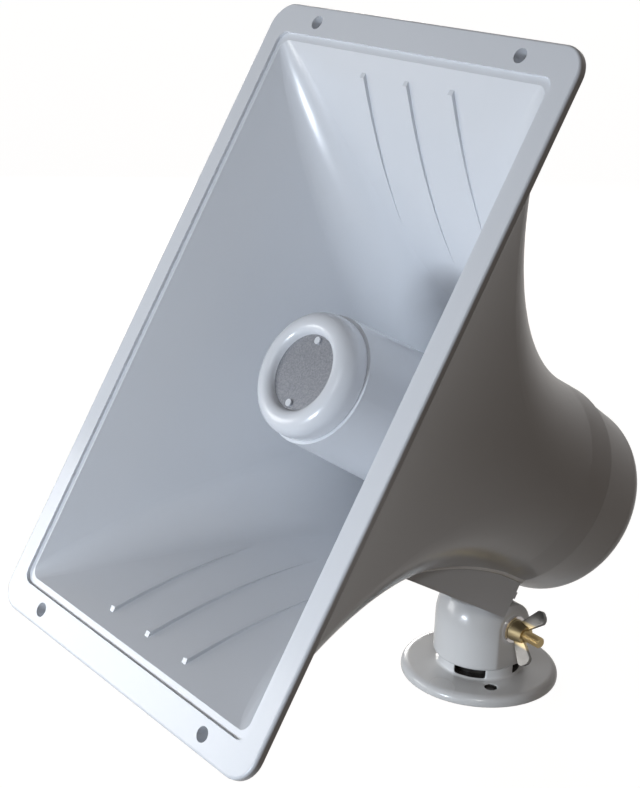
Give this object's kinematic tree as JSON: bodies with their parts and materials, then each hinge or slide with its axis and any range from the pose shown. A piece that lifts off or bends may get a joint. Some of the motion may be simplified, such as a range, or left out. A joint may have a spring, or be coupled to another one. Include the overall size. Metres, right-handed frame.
{
  "type": "horn_loudspeaker",
  "caption": "Weatherproof public address horn with a rectangular flared mouth, centre reflector and rear driver housing, on a tilting ball swivel with a round screw-down base",
  "frame": {"origin": "centre of the underside of the round base, on the mounting surface", "axes": "+Z away from the mounting surface along the swivel axis; the horn's mouth faces -Y; +X is the right-hand side seen from the front, where the wing nut is"},
  "size_m": [0.178, 0.2622, 0.2952],
  "materials": {
    "white_shell": "gloss",
    "white_inner": "gloss",
    "stand_white": "satin",
    "grey_inner": "matte",
    "bare_label": "satin",
    "bright_steel": "satin",
    "zinc_screw": "satin",
    "zinc_nut": "satin",
    "washer_steel": "polished",
    "spring_steel": "satin",
    "plated_steel": "satin",
    "dark_ferrite": "matte",
    "copper_coil": "satin",
    "dome_film": "satin",
    "soft_seal": "matte",
    "dark_plastic": "matte"
  },
  "bodies": {
    "base": {"base_flange": "stand_white"},
    "knuckle": {"swivel_knuckle": "stand_white", "retaining_clip": "spring_steel", "clamp_bolt": "zinc_screw", "clamp_washer": "washer_steel"},
    "clamp_nut": {"wing_nut": "zinc_nut"},
    "horn": {"cable_grommet": "soft_seal", "centre_screw": "bright_steel", "diaphragm": "dome_film", "driver_back_plate": "plated_steel", "driver_gasket": "soft_seal", "driver_magnet": "dark_ferrite", "driver_screws": "bright_steel", "driver_top_plate": "plated_steel", "front_cap": "white_inner", "horn_bell": "white_shell", "housing_screws": "bright_steel", "label_pins": "white_inner", "label_plate": "bare_label", "phase_plug": "grey_inner", "rear_housing": "white_shell", "reflector": "white_inner", "terminal_screws": "bright_steel", "terminal_strip": "dark_plastic", "throat_tube": "grey_inner", "voice_coil": "copper_coil"}
  },
  "joints": [
    {"name": "swivel", "type": "hinge", "parent": "base", "child": "knuckle", "pos_m": [0, 0, 0.01], "axis": [0, 0, 1], "continuous": true},
    {"name": "tilt", "type": "hinge", "parent": "knuckle", "child": "horn", "pos_m": [0, 0, 0.0295], "axis": [1, 0, 0], "range_deg": [-30, 14.5]},
    {"name": "nut_turn", "type": "hinge", "parent": "knuckle", "child": "clamp_nut", "pos_m": [0.022, 0, 0.0295], "axis": [1, 0, 0], "continuous": true}
  ]
}
